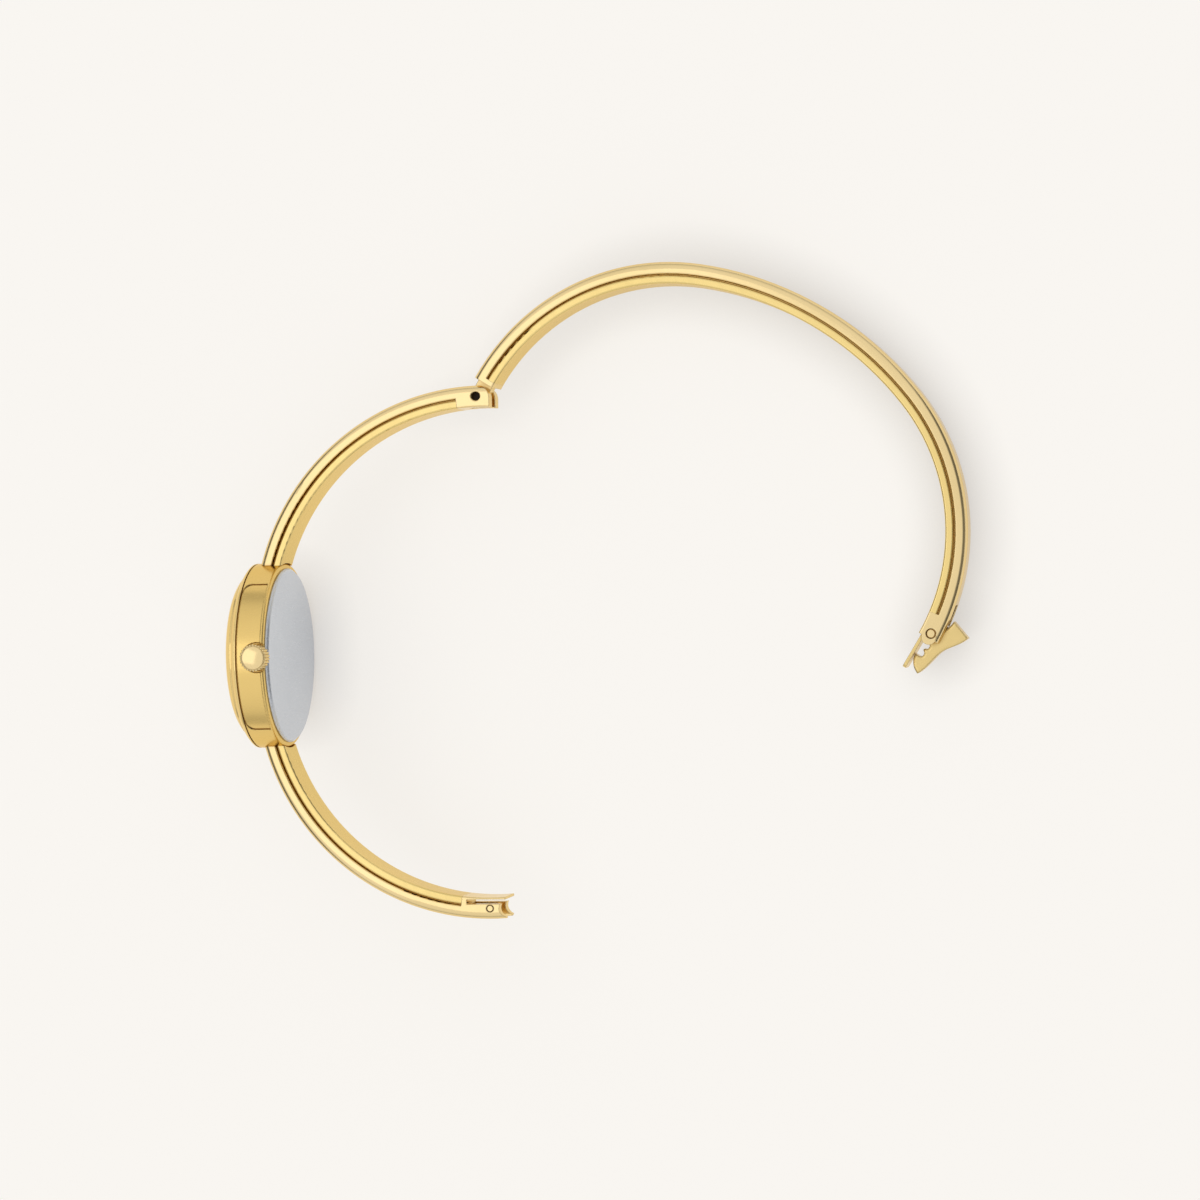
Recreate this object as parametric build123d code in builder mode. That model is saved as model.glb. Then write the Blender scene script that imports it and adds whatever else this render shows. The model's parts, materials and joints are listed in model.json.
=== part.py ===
from build123d import *

import os
from math import acos, asin, atan2, cos, degrees, hypot, radians, sin, sqrt

os.makedirs("parts", exist_ok=True)

# A small round quartz watch on a hinged bangle, lying open on its side with the crown up.
# It is drawn closed, in the bangle's own frame: X runs from the dial through the case to the
# wrist, Y points to 12 o'clock, Z runs along the crown's axis, and the hinge and the clasp stand
# over the origin. The last lines swing the back arm open and lay the watch on the table.

# Bangle
inner_half_height = 28.85
case_back_stand = 0.34
front_radius = 25.45
front_arc_x = 0.35
back_end_radius = 23.7
back_mid_radius = 37.85
back_arc_x = 2.1
arm_thickness = 2.55
arm_width = 5.1
arm_edge_radius = 0.85
arm_corner_radius = 0.2
bar_edge_radius = 0.35
bar_edge_spill = 0.05
overrun = 1.0
angle_overrun = 1

# Lining, the strip that closes each arm on the wrist side
lining_thickness = 0.95
lining_edge_radius = 0.25
groove_height = 0.12
groove_depth = 0.8

# Hinge
hinge_pin_radius = 0.5
hinge_hole_chamfer = 0.12
hinge_pin_recess = 1.15
hinge_tongue_width = 1.8
hinge_tongue_radius = 0.95
hinge_side_clearance = 0.05
hinge_end_clearance = 0.15
front_end_x = 1.65
back_end_x = 1.85
front_end_round = 1.5
hinge_block_end_x = -2.4
back_block_length = 0.6
running_clearance = 0.03
open_angle = 58.5
rest_direction = 31

# Clasp
lever_pin_x = 3.1
catch_pin_x = 0.5
clasp_pin_radius = 0.3
lever_pin_head_radius = 0.44
lever_pin_ring_radius = 0.6
catch_pin_head_radius = 0.34
catch_pin_ring_radius = 0.45
pin_ring_depth = 0.7
pin_head_sink = 0.03
lever_width = 2.4
lever_side_clearance = 0.1
cheek_tip_x = 1.75
cheek_tip_radius = 0.85
shoulder_x = 2.5
lower_lip_x = 2.35
notch_clearance = 0.15
clasp_block_end_x = 5.4
lower_block_end_x = -3.0
lever_slot_end_x = 7.3
hook_slot_end_x = -2.15
tongue_tip_x = -1.85
tongue_root_x = 5.0
tongue_thickness = 0.4
tongue_width = 4.0
tongue_cover = 0.3
tongue_clearance = 0.08
tongue_slot_end_x = -2.3
tongue_corner_radius = 0.5

# Clasp lever, measured from the centre of its pin
lever_hub_radius = 0.5
lever_reach = 4.85
lever_depth = 3.85
hook_nose_shares = [(-0.63, 0.13), (-0.87, 0.0), (-1.0, -0.23)]
lever_belly_shares = [(-1.0, -0.23), (-0.59, -0.41), (-0.23, -0.55), (0.0, -0.76), (0.33, -1.0)]
lever_tab_shares = (0.505, -0.39)
lever_back_shares = [(0.3, -0.33), (0.13, -0.2)]
lever_throat_radius = 0.42
lever_throat_length = 1.05
lever_throat_drop = 0.12
spring_thickness = 0.15
spring_width = 1.8
spring_gap = 0.06
spring_root_length = 0.9

# Watch case, built up around the movement and measured from the flat outer face of the case back
# toward the dial
movement_radius = 7.5
holder_clearance = 0.05
holder_wall = 1.75
case_wall = 1.65
case_bottom = 0.45
case_top = 3.7
case_bottom_round = 0.4
panel_depth = 0.12
panel_bottom = 0.85
panel_reach = 8.6
panel_corner_radius = 1.0
back_seat_wall = 1.1
back_seat_top = 1.25
dial_ledge = 3.1
dial_ledge_width = 0.25
back_rim_inset = 0.64
back_bevel = 0.3
snap_wall_clearance = 0.05
snap_wall_thickness = 0.35
snap_wall_top = 1.05
back_gasket_inset = 0.1
back_gasket_width = 0.25
back_gasket_height = 0.2
bezel_neck_height = 0.15
bezel_neck_depth = 0.35
lower_ring_edge = 4.0
lower_ring_top = 4.65
upper_ring_edge = 4.9
bezel_top = 5.7
ring_joint_inset = 1.2
ring_groove = 0.15
ring_crown = 0.1
bezel_bore_inset = 2.7
bezel_rim_width = 0.2
crystal_ledge_width = 0.5
crystal_bottom = 4.85
crystal_edge_top = 5.6
crystal_dome_top = 5.9
crystal_gasket_width = 0.3
crystal_gasket_height = 0.5
dial_clearance = 0.1
dial_thickness = 0.3
dial_hole_radius = 0.9
dial_ring_top = 4.2
dial_ring_width = 1.7
dial_ring_lip_width = 1.5
marker_count = 12
marker_inset = 1.0
marker_length = 1.5
marker_width = 0.28
marker_height = 0.15

# Hands and motion work
hour_hand_length = 4.1
hour_hand_width = 0.55
minute_hand_gap = 0.6
minute_hand_width = 0.42
hand_tail = 1.5
hand_tip_share = 0.35
hand_thickness = 0.1
hand_hub_radius = 0.8
hour_hand_level = 3.62
minute_hand_level = 3.88
hour_hand_angle = 60
minute_hand_angle = 0
cannon_radius = 0.4
cannon_gear_radius = 0.45
cannon_gear_height = 0.14
hour_pipe_inner = 0.43
hour_pipe_outer = 0.65
hour_wheel_radius = 1.44
hour_wheel_level = 2.86
minute_wheel_radius = 1.35
minute_pinion_radius = 0.36
minute_wheel_level = 2.66
minute_wheel_angle = -20
wheel_thickness = 0.12
mesh_gap = 0.03
arbor_radius = 0.1
pivot_radius = 0.07
pivot_clearance = 0.02
pivot_play = 0.03

# Movement
plate_bottom = 2.1
plate_top = 2.6
bridge_bottom = 0.7
bridge_top = 0.95
bridge_inset = 0.2
bridge_low_edge = -0.7
bridge_high_edge = 5.15
bridge_stem_gap = 0.75
bridge_stem_x = 3.2
pillar_radius = 0.45
pillar_angles = [14, 43, 150]
pillar_inset = 0.9
screw_head_radius = 0.38
screw_head_height = 0.14
screw_radius = 0.2
screw_length = 0.8
screw_slot_width = 0.1
screw_slot_depth = 0.06
plate_shelf_width = 0.4
stem_block_inset = 0.3
stem_block_length = 1.4
stem_block_width = 1.6
holder_bottom = 0.75
battery_radius = 2.9
battery_bottom = 0.8
battery_clearance = 0.15
battery_x = -3.9
battery_y = -2.2
battery_pole_radius = 2.3
battery_pole_height = 0.12
clamp_thickness = 0.12
clamp_pad_radius = 0.9
clamp_foot_radius = 0.55
clamp_post_x = -1.2
clamp_post_y = -5.6
coil_radius = 0.5
coil_core_thickness = 0.4
coil_length = 5.2
coil_tab_length = 0.6
coil_tab_width = 0.7
coil_y = 6.1
board_thickness = 0.2
board_width = 4.6
board_height = 2.4
board_x = 2.1
board_y = -5.0
board_level = 1.6
board_edge_inset = 0.3
board_post_radius = 0.35
board_post_spacing = 3.4
chip_size = 1.1
chip_height = 0.35
chip_y = -5.45
crystal_can_radius = 0.42
crystal_can_length = 2.8
rotor_radius = 0.6
rotor_bottom = 1.06
rotor_height = 0.36
rotor_pinion_radius = 0.2
stator_hole_radius = 0.72
stator_ring_radius = 1.1
stator_bottom = 1.0
stator_thickness = 0.25
stator_bar_low = 4.75
stator_bar_high = 5.4
fifth_wheel_radius = 1.2
fifth_pinion_radius = 0.25
seconds_wheel_radius = 1.25
seconds_pinion_radius = 0.17
third_wheel_radius = 1.36
third_pinion_radius = 0.19
centre_wheel_radius = 1.425
low_level = 1.2
mid_level = 1.55
high_level = 1.88
third_angle = 60
seconds_angle = 110
fifth_angle = 45
rotor_angle = 0

# Crown and stem
stem_height = 1.3
stem_radius = 0.4
stem_square = 0.5
stem_inner_spare = 0.2
stem_square_end = 6.6
clutch_x = 4.5
clutch_length = 1.1
clutch_radius = 0.5
clutch_clearance = 0.03
tube_inner = 0.46
tube_outer = 0.7
tube_inset = 0.6
crown_pull = 0.6
crown_overlap = 0.2
crown_length = 1.9
crown_radius = 1.6
crown_seat_radius = 1.78
crown_seat_depth = 0.4
crown_bore_radius = 0.95
crown_bore_depth = 0.95
crown_stem_depth = 0.5
crown_rib_count = 26
crown_rib_radius = 0.14
crown_cap_height = 0.35
crown_cap_inset = 0.25
crown_dome_height = 0.18
gasket_clearance = 0.02
gasket_length = 0.3
gasket_inset = 0.05

# Places that follow from the sizes above
hinge_height = inner_half_height + arm_thickness / 2
outer_half_height = inner_half_height + arm_thickness
lining_depth = lining_thickness + groove_height
half_width = arm_width / 2
case_bore_radius = movement_radius + holder_wall + 2 * holder_clearance
case_radius = case_bore_radius + case_wall
holder_inner = movement_radius + holder_clearance
holder_outer = case_bore_radius - holder_clearance
dial_bore_radius = case_bore_radius + dial_ledge_width
dial_radius = dial_bore_radius - dial_clearance
marker_radius = dial_radius - dial_ring_width - marker_inset
minute_hand_length = marker_radius - minute_hand_gap
bezel_bore_radius = case_radius - bezel_bore_inset
crystal_radius = bezel_bore_radius - crystal_gasket_width
back_radius = case_radius - back_rim_inset
back_seat_radius = case_radius - back_seat_wall
snap_wall_outer = back_seat_radius - snap_wall_clearance
snap_wall_inner = snap_wall_outer - snap_wall_thickness
back_gasket_inner = back_seat_radius + back_gasket_inset
bezel_neck_radius = case_radius - bezel_neck_depth
ring_joint_radius = case_radius - ring_joint_inset
crystal_ledge_radius = bezel_bore_radius - crystal_ledge_width
tube_start = case_bore_radius + tube_inset
crown_start = case_radius - crown_overlap
crown_end = crown_start + crown_length
front_arc_y = inner_half_height - front_radius
back_arc_y = inner_half_height - back_end_radius
mid_arc_x = back_arc_x - sqrt((back_mid_radius - back_end_radius) ** 2 - back_arc_y**2)
mid_arc_angle = degrees(atan2(back_arc_y, back_arc_x - mid_arc_x))
mid_arm_radius = arm_thickness / 2
case_back_distance = sqrt(front_radius**2 - (case_radius - front_arc_y) ** 2) - front_arc_x - case_back_stand
hinge_point = (0, hinge_height)
lever_pin_point = (lever_pin_x, -hinge_height)
catch_pin_point = (catch_pin_x, -hinge_height)
lever_slot_half = lever_width / 2 + lever_side_clearance
tongue_inner_y = -inner_half_height - tongue_cover
tongue_outer_y = tongue_inner_y - tongue_thickness
head = Plane(origin=(-case_back_distance, 0, 0), x_dir=(0, 0, 1), z_dir=(-1, 0, 0))
head_axis = Axis(head.origin, head.z_dir)
stem_plane = Plane(origin=(-case_back_distance - stem_height, 0, 0), x_dir=(0, 1, 0), z_dir=(0, 0, 1))
head_profile = Plane(origin=head.origin, x_dir=(0, 0, 1), z_dir=(0, -1, 0))
stem_axis = Axis(stem_plane.origin, stem_plane.z_dir)
stem_profile = Plane(origin=stem_plane.origin, x_dir=(0, 1, 0), z_dir=(1, 0, 0))
stem_inner_x = clutch_x - crown_pull - stem_inner_spare
gasket_start = crown_start + gasket_inset
tube_end = gasket_start + crown_pull + gasket_length / 2

watch_pieces = []
arm_pieces = []


def keep(piece, label, group):
    """Names a finished piece and lists it with the pieces that move with it."""
    piece.part.label = label
    group.append(piece.part)


def polar_point(origin, distance, angle):
    """A point at a distance and an angle in degrees from another point."""
    return (origin[0] + distance * cos(radians(angle)), origin[1] + distance * sin(radians(angle)))


# Arms

def arm_arc(centre, start, end, outline, radius, mode=Mode.ADD):
    """Turns an outline about the centre of one arc of the bangle, between two angles."""
    radial = Vector(cos(radians(start)), sin(radians(start)), 0)
    section = Plane(origin=(*centre, 0), x_dir=radial, z_dir=radial.cross(Vector(0, 0, 1)))
    with BuildSketch(section) as arm_section:
        outline(radius)
    revolve(arm_section.sketch, axis=Axis((*centre, 0), (0, 0, 1)), revolution_arc=end - start, mode=mode)


def full_outline(radius):
    """The whole section of an arm, rounded outside and nearly square on the wrist side."""
    with Locations((radius + arm_thickness / 2, 0)):
        Rectangle(arm_thickness, arm_width)
    fillet(vertices().group_by(Axis.X)[-1], arm_edge_radius)
    fillet(vertices().group_by(Axis.X)[0], arm_corner_radius)


def rebate_outline(radius):
    """The room that an arm leaves for its lining and its grooves, flared to round the arm's edges."""
    floor = radius + lining_depth
    flare = floor + bar_edge_radius
    flare_centre = half_width - bar_edge_radius + bar_edge_spill
    flare_end = half_width + bar_edge_spill
    side = half_width + overrun
    with BuildLine() as border:
        Line((floor, -flare_centre), (floor, flare_centre))
        CenterArc((flare, flare_centre), bar_edge_radius, 90, 90)
        CenterArc((flare, -flare_centre), bar_edge_radius, 180, 90)
        Polyline(
            (flare, flare_end),
            (flare, side),
            (radius - overrun, side),
            (radius - overrun, -side),
            (flare, -side),
            (flare, -flare_end),
        )
    make_face(border.edges())


def lining_outline(radius):
    """A flat strip with rounded edges on a narrower neck, which makes the side grooves."""
    with Locations((radius + lining_thickness / 2, 0)):
        Rectangle(lining_thickness, arm_width)
    fillet(vertices(), lining_edge_radius)
    with Locations((radius + lining_thickness / 2, 0)):
        Rectangle(lining_depth - lining_thickness / 2, arm_width - 2 * groove_depth, align=(Align.MIN, Align.CENTER))


def angle_at(x, centre_x, radius):
    """The angle at which an arc's middle line passes over a place along X."""
    return degrees(acos((x - centre_x) / (radius + mid_arm_radius)))


def trim_to_case():
    """Cuts an arm's end to the round side of the case."""
    with BuildSketch(head.offset(-overrun)) as case_outline:
        Circle(case_radius)
    extrude(case_outline.sketch, amount=bezel_top + 2 * overrun, mode=Mode.SUBTRACT)


def cut_through(half_depth):
    """Cuts the last sketch out on both sides of the bangle's middle plane."""
    extrude(amount=half_depth, both=True, mode=Mode.SUBTRACT)


upper_arc = (front_arc_x, front_arc_y)
lower_arc = (front_arc_x, -front_arc_y)
case_end_angle = 180 - degrees(asin((case_radius - 2 * overrun - front_arc_y) / front_radius))
rebate_case_end = case_end_angle + angle_overrun
front_outline_end = angle_at(front_end_x + overrun, front_arc_x, front_radius)
hinge_block_angle = angle_at(hinge_block_end_x, front_arc_x, front_radius)
lower_block_angle = angle_at(lower_block_end_x, front_arc_x, front_radius)

with BuildPart() as upper_arm:
    arm_arc(upper_arc, front_outline_end, case_end_angle, full_outline, front_radius)
    arm_arc(upper_arc, hinge_block_angle, rebate_case_end, rebate_outline, front_radius, Mode.SUBTRACT)
    trim_to_case()
    split(bisect_by=Plane.YZ.offset(front_end_x), keep=Keep.BOTTOM)
    with BuildSketch(Plane.XY):
        with Locations((front_end_x - front_end_round, outer_half_height - front_end_round)):
            Rectangle(front_end_round + overrun, front_end_round + overrun, align=(Align.MIN, Align.MIN))
            Circle(front_end_round, mode=Mode.SUBTRACT)
    cut_through(half_width + overrun)
    with BuildSketch(Plane.XY):
        with Locations((-hinge_tongue_radius - hinge_end_clearance, hinge_height)):
            Rectangle(
                front_end_x + hinge_tongue_radius + hinge_end_clearance + overrun,
                arm_thickness + 2 * overrun,
                align=(Align.MIN, Align.CENTER),
            )
    cut_through(hinge_tongue_width / 2 + hinge_side_clearance)
    with BuildSketch(Plane.XY):
        with Locations(hinge_point):
            Circle(hinge_pin_radius)
    cut_through(half_width + overrun)
    with Locations((*hinge_point, half_width)):
        Cone(
            hinge_pin_radius,
            hinge_pin_radius + hinge_hole_chamfer,
            hinge_hole_chamfer,
            align=(Align.CENTER, Align.CENTER, Align.MAX),
            mode=Mode.SUBTRACT,
        )
keep(upper_arm, "upper_arm", watch_pieces)

with BuildPart() as upper_arm_lining:
    arm_arc(upper_arc, hinge_block_angle, case_end_angle, lining_outline, front_radius)
    trim_to_case()
keep(upper_arm_lining, "upper_arm_lining", watch_pieces)

with BuildPart() as hinge_pin:
    with BuildSketch(Plane.XY.offset(-half_width)):
        with Locations(hinge_point):
            Circle(hinge_pin_radius)
    extrude(amount=arm_width - hinge_pin_recess)
keep(hinge_pin, "hinge_pin", watch_pieces)


def strip_sketch(x_from, x_to, y_from, y_to):
    """A rectangle between two places along X and two places along Y."""
    with Locations(((x_from + x_to) / 2, (y_from + y_to) / 2)):
        Rectangle(abs(x_to - x_from), abs(y_to - y_from))


def cheek_sketch(radius, x_to):
    """The rounded end of a clasp cheek, from its tip to a place along X."""
    centre_x = cheek_tip_x + cheek_tip_radius
    with Locations((centre_x, -hinge_height)):
        Circle(radius)
    strip_sketch(centre_x, x_to, -hinge_height - radius, -hinge_height + radius)


def pin_seats(point, ring_radius):
    """Bores both cheeks for a clasp pin and sinks a ring round each of its heads."""
    with Locations((*point, 0)):
        Cylinder(clasp_pin_radius, arm_width + 2 * overrun, mode=Mode.SUBTRACT)
    for side in (-1, 1):
        with Locations((*point, side * (half_width + (overrun - pin_ring_depth) / 2))):
            Cylinder(ring_radius, overrun + pin_ring_depth, mode=Mode.SUBTRACT)


def clasp_pin(point, head_radius):
    """A pin across the clasp with a head sunk in each cheek."""
    with Locations((*point, 0)):
        Cylinder(clasp_pin_radius, arm_width - 2 * pin_ring_depth)
    for side in (-1, 1):
        with Locations((*point, side * (half_width - (pin_ring_depth + pin_head_sink) / 2))):
            Cylinder(head_radius, pin_ring_depth - pin_head_sink)


with BuildPart() as lower_arm:
    arm_arc(lower_arc, -case_end_angle, -front_outline_end, full_outline, front_radius)
    arm_arc(lower_arc, -rebate_case_end, -lower_block_angle, rebate_outline, front_radius, Mode.SUBTRACT)
    trim_to_case()
    split(bisect_by=Plane.YZ.offset(lower_lip_x), keep=Keep.BOTTOM)
    with BuildSketch(Plane.XY):
        strip_sketch(
            tongue_slot_end_x,
            lower_lip_x + overrun,
            tongue_inner_y + tongue_clearance,
            tongue_outer_y - tongue_clearance,
        )
        cheek_sketch(cheek_tip_radius + notch_clearance, lower_lip_x + overrun)
    cut_through(half_width + overrun)
    with BuildSketch(Plane.XY):
        strip_sketch(hook_slot_end_x, lower_lip_x + overrun, tongue_outer_y, -outer_half_height - overrun)
    cut_through(lever_slot_half)
    pin_seats(catch_pin_point, catch_pin_ring_radius)
keep(lower_arm, "lower_arm", watch_pieces)

with BuildPart() as lower_arm_lining:
    arm_arc(lower_arc, -case_end_angle, -lower_block_angle, lining_outline, front_radius)
    trim_to_case()
keep(lower_arm_lining, "lower_arm_lining", watch_pieces)

with BuildPart() as catch_pin:
    clasp_pin(catch_pin_point, catch_pin_head_radius)
keep(catch_pin, "catch_pin", watch_pieces)

back_hinge_angle = angle_at(back_end_x - overrun, back_arc_x, back_end_radius)
back_clasp_angle = angle_at(cheek_tip_x - overrun, back_arc_x, back_end_radius)
hinge_rebate_angle = angle_at(back_end_x + back_block_length, back_arc_x, back_end_radius)
clasp_rebate_angle = angle_at(clasp_block_end_x, back_arc_x, back_end_radius)
back_arcs = [
    ((back_arc_x, back_arc_y), back_end_radius, mid_arc_angle, back_hinge_angle, hinge_rebate_angle),
    ((mid_arc_x, 0), back_mid_radius, -mid_arc_angle, mid_arc_angle, mid_arc_angle),
    ((back_arc_x, -back_arc_y), back_end_radius, -mid_arc_angle, -back_clasp_angle, -clasp_rebate_angle),
]

with BuildPart() as back_arm:
    for arc_centre, arc_radius, arc_start, arc_end, rebate_end in back_arcs:
        arm_arc(arc_centre, arc_start, arc_end, full_outline, arc_radius)
    for arc_centre, arc_radius, arc_start, arc_end, rebate_end in back_arcs:
        arm_arc(arc_centre, arc_start, rebate_end, rebate_outline, arc_radius, Mode.SUBTRACT)
    with BuildSketch(Plane.XY):
        strip_sketch(back_end_x - 2 * overrun, back_end_x, 0, outer_half_height + overrun)
        strip_sketch(cheek_tip_x - 2 * overrun, shoulder_x, 0, -outer_half_height - overrun)
    cut_through(half_width + overrun)
    with BuildSketch(Plane.XY):
        cheek_sketch(cheek_tip_radius, shoulder_x + notch_clearance)
    extrude(amount=half_width, both=True)
    with BuildSketch(Plane.XY):
        with Locations(hinge_point):
            Circle(hinge_tongue_radius)
        strip_sketch(
            0,
            back_end_x + hinge_end_clearance,
            hinge_height - hinge_tongue_radius,
            hinge_height + hinge_tongue_radius,
        )
    extrude(amount=hinge_tongue_width / 2, both=True)
    with Locations((*hinge_point, 0)):
        Cylinder(hinge_pin_radius + running_clearance, hinge_tongue_width + overrun, mode=Mode.SUBTRACT)
    with BuildSketch(Plane.XY):
        strip_sketch(cheek_tip_x - overrun, lever_slot_end_x, tongue_outer_y, -outer_half_height - overrun)
    cut_through(lever_slot_half)
    with BuildSketch(Plane.XY):
        strip_sketch(cheek_tip_x - overrun, tongue_root_x, tongue_inner_y, tongue_outer_y)
    cut_through(tongue_width / 2)
    pin_seats(lever_pin_point, lever_pin_ring_radius)
keep(back_arm, "back_arm", arm_pieces)

with BuildPart() as back_arm_lining:
    for arc_centre, arc_radius, arc_start, arc_end, rebate_end in back_arcs:
        arm_arc(arc_centre, arc_start, rebate_end, lining_outline, arc_radius)
    with BuildSketch(Plane.XY):
        strip_sketch(cheek_tip_x - overrun, lever_slot_end_x, tongue_outer_y, -outer_half_height - overrun)
    cut_through(lever_slot_half)
keep(back_arm_lining, "back_arm_lining", arm_pieces)

with BuildPart() as clasp_tongue:
    with BuildSketch(Plane.XZ.offset(-tongue_inner_y)):
        strip_sketch(tongue_tip_x, tongue_root_x, -tongue_width / 2, tongue_width / 2)
        fillet(vertices().group_by(Axis.X)[0], tongue_corner_radius)
    extrude(amount=tongue_thickness)
keep(clasp_tongue, "clasp_tongue", arm_pieces)

with BuildPart() as lever_pin:
    clasp_pin(lever_pin_point, lever_pin_head_radius)
keep(lever_pin, "lever_pin", arm_pieces)


def lever_points(shares):
    """Places on the clasp lever, from shares of its reach and its depth."""
    return [
        (lever_pin_x + reach * lever_reach, -hinge_height + depth * lever_depth)
        for reach, depth in shares
    ]


hook_nose = lever_points(hook_nose_shares)
lever_belly = lever_points(lever_belly_shares)
lever_tab = lever_points([lever_tab_shares])[0]
lever_back = lever_points(lever_back_shares)
throat_near = (catch_pin_x + lever_throat_length, -hinge_height - lever_throat_drop)

with BuildPart() as clasp_lever:
    with BuildSketch(Plane.XY):
        with BuildLine():
            ThreePointArc(hook_nose[0], hook_nose[1], hook_nose[2])
            Spline(*lever_belly)
            Line(lever_belly[-1], lever_tab)
            ThreePointArc(lever_tab, lever_back[0], lever_back[1])
            Line(lever_back[1], lever_pin_point)
            Line(lever_pin_point, hook_nose[0])
        make_face()
        with Locations(catch_pin_point, throat_near):
            Circle(lever_throat_radius, mode=Mode.SUBTRACT)
        with BuildSketch(mode=Mode.SUBTRACT):
            strip_sketch(
                catch_pin_x - lever_throat_radius,
                throat_near[0] + lever_throat_radius,
                -hinge_height - lever_throat_drop,
                -inner_half_height,
            )
        with Locations(lever_pin_point):
            Circle(lever_hub_radius)
            Circle(clasp_pin_radius + running_clearance, mode=Mode.SUBTRACT)
    extrude(amount=lever_width / 2, both=True)
keep(clasp_lever, "clasp_lever", arm_pieces)

# A flat spring lies in the lever's slot and pushes the tab outward.
spring_root = (lever_slot_end_x, tongue_outer_y - spring_thickness / 2)
spring_knee = (lever_slot_end_x - spring_root_length, spring_root[1])
spring_tip = (lever_back[0][0], lever_back[0][1] + spring_thickness / 2 + spring_gap)

with BuildPart() as lever_spring:
    with BuildSketch(Plane.XY):
        with BuildLine() as spring_line:
            Line(spring_root, spring_knee)
            JernArc(spring_knee, (-1, 0), spring_root_length, 30)
            Line(spring_line.edges()[-1] @ 1, spring_tip)
        trace(line_width=spring_thickness)
    extrude(amount=spring_width / 2, both=True)
keep(lever_spring, "lever_spring", arm_pieces)


# Watch head

def turned(points, mode=Mode.ADD):
    """Turns a closed outline of radius and height about the case's axis."""
    with BuildSketch(head_profile) as profile:
        with BuildLine():
            Polyline(*points, close=True)
        make_face()
    revolve(profile.sketch, axis=head_axis, mode=mode)


def ring(inner, outer, bottom, top, mode=Mode.ADD):
    """A plain ring about the case's axis."""
    turned([(inner, bottom), (outer, bottom), (outer, top), (inner, top)], mode)


def dome(radius, edge, top):
    """Draws the outline of a shallow dome, from its edge up to the axis."""
    rise = top - edge
    dome_radius = (radius**2 + rise**2) / (2 * rise)
    half_angle = degrees(asin(radius / dome_radius))
    CenterArc((0, top - dome_radius), dome_radius, 90 - half_angle, half_angle)


def crowned(start, end):
    """Draws an arc that stands a little proud of the line between two points."""
    run = end[0] - start[0]
    climb = end[1] - start[1]
    proud = ring_crown / hypot(run, climb)
    crest = ((start[0] + end[0]) / 2 + climb * proud, (start[1] + end[1]) / 2 - run * proud)
    ThreePointArc(start, crest, end)


def disc(radius, bottom, top, at=(0, 0), mode=Mode.ADD):
    """A round disc or post, square to the dial, at a place seen from the dial side."""
    with BuildSketch(head.offset(bottom)) as outline:
        with Locations(at):
            Circle(radius)
    extrude(outline.sketch, amount=top - bottom, mode=mode)


def stem_disc(radius, start, end, mode=Mode.ADD):
    """A round disc or bore on the stem's axis, between two distances from the case's axis."""
    with BuildSketch(stem_plane.offset(start)) as outline:
        Circle(radius)
    extrude(outline.sketch, amount=end - start, mode=mode)


def clear_hole(radius, bottom, top, places):
    """Bores the same hole at several places, past both faces."""
    for place in places:
        disc(radius, bottom - overrun, top + overrun, place, Mode.SUBTRACT)


# Shallow panels in both sides of the case, which leave its ends at full size for the arms
with BuildPart() as side_panels:
    ring(case_radius - panel_depth, case_radius + overrun, panel_bottom, case_top)
    with BuildSketch(Plane.XY):
        strip_sketch(
            -case_back_distance - case_top, -case_back_distance - panel_bottom, -panel_reach, panel_reach
        )
        fillet(vertices().group_by(Axis.X)[0], panel_corner_radius)
    extrude(amount=case_radius + overrun, both=True, mode=Mode.INTERSECT)

with BuildPart() as case_middle:
    with BuildSketch(head_profile):
        with BuildLine():
            Polyline(
                (case_bore_radius, back_seat_top),
                (back_seat_radius, back_seat_top),
                (back_seat_radius, case_bottom),
                (case_radius, case_bottom),
                (case_radius, case_top),
                (dial_bore_radius, case_top),
                (dial_bore_radius, dial_ledge),
                (case_bore_radius, dial_ledge),
                close=True,
            )
        make_face()
        fillet(vertices().group_by(Axis.Y)[0].sort_by(Axis.X)[-1], case_bottom_round)
    revolve(axis=head_axis)
    add(side_panels.part, mode=Mode.SUBTRACT)
    stem_disc(tube_outer, case_bore_radius - overrun, case_radius + overrun, Mode.SUBTRACT)
    stem_disc(crown_seat_radius, case_radius - crown_seat_depth, case_radius + overrun, Mode.SUBTRACT)
keep(case_middle, "case_middle", watch_pieces)

with BuildPart() as crown_tube:
    stem_disc(tube_outer, tube_start, tube_end)
    stem_disc(tube_inner, tube_start, tube_end, Mode.SUBTRACT)
keep(crown_tube, "crown_tube", watch_pieces)

with BuildPart() as case_back:
    with BuildSketch(head_profile):
        with BuildLine():
            Polyline(
                (0, 0),
                (back_radius, 0),
                (back_radius, case_bottom),
                (snap_wall_outer, case_bottom),
                (snap_wall_outer, snap_wall_top),
                (snap_wall_inner, snap_wall_top),
                (snap_wall_inner, case_bottom),
                (0, case_bottom),
                close=True,
            )
        make_face()
        chamfer(vertices().group_by(Axis.Y)[0].sort_by(Axis.X)[-1], back_bevel)
    revolve(axis=head_axis)
    ring(
        back_gasket_inner,
        back_gasket_inner + back_gasket_width,
        case_bottom - back_gasket_height,
        case_bottom,
        Mode.SUBTRACT,
    )
    stem_disc(tube_outer, snap_wall_inner - overrun / 2, snap_wall_outer, Mode.SUBTRACT)
keep(case_back, "case_back", watch_pieces)

with BuildPart() as case_back_gasket:
    ring(
        back_gasket_inner,
        back_gasket_inner + back_gasket_width,
        case_bottom - back_gasket_height,
        case_bottom,
    )
keep(case_back_gasket, "case_back_gasket", watch_pieces)

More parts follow.
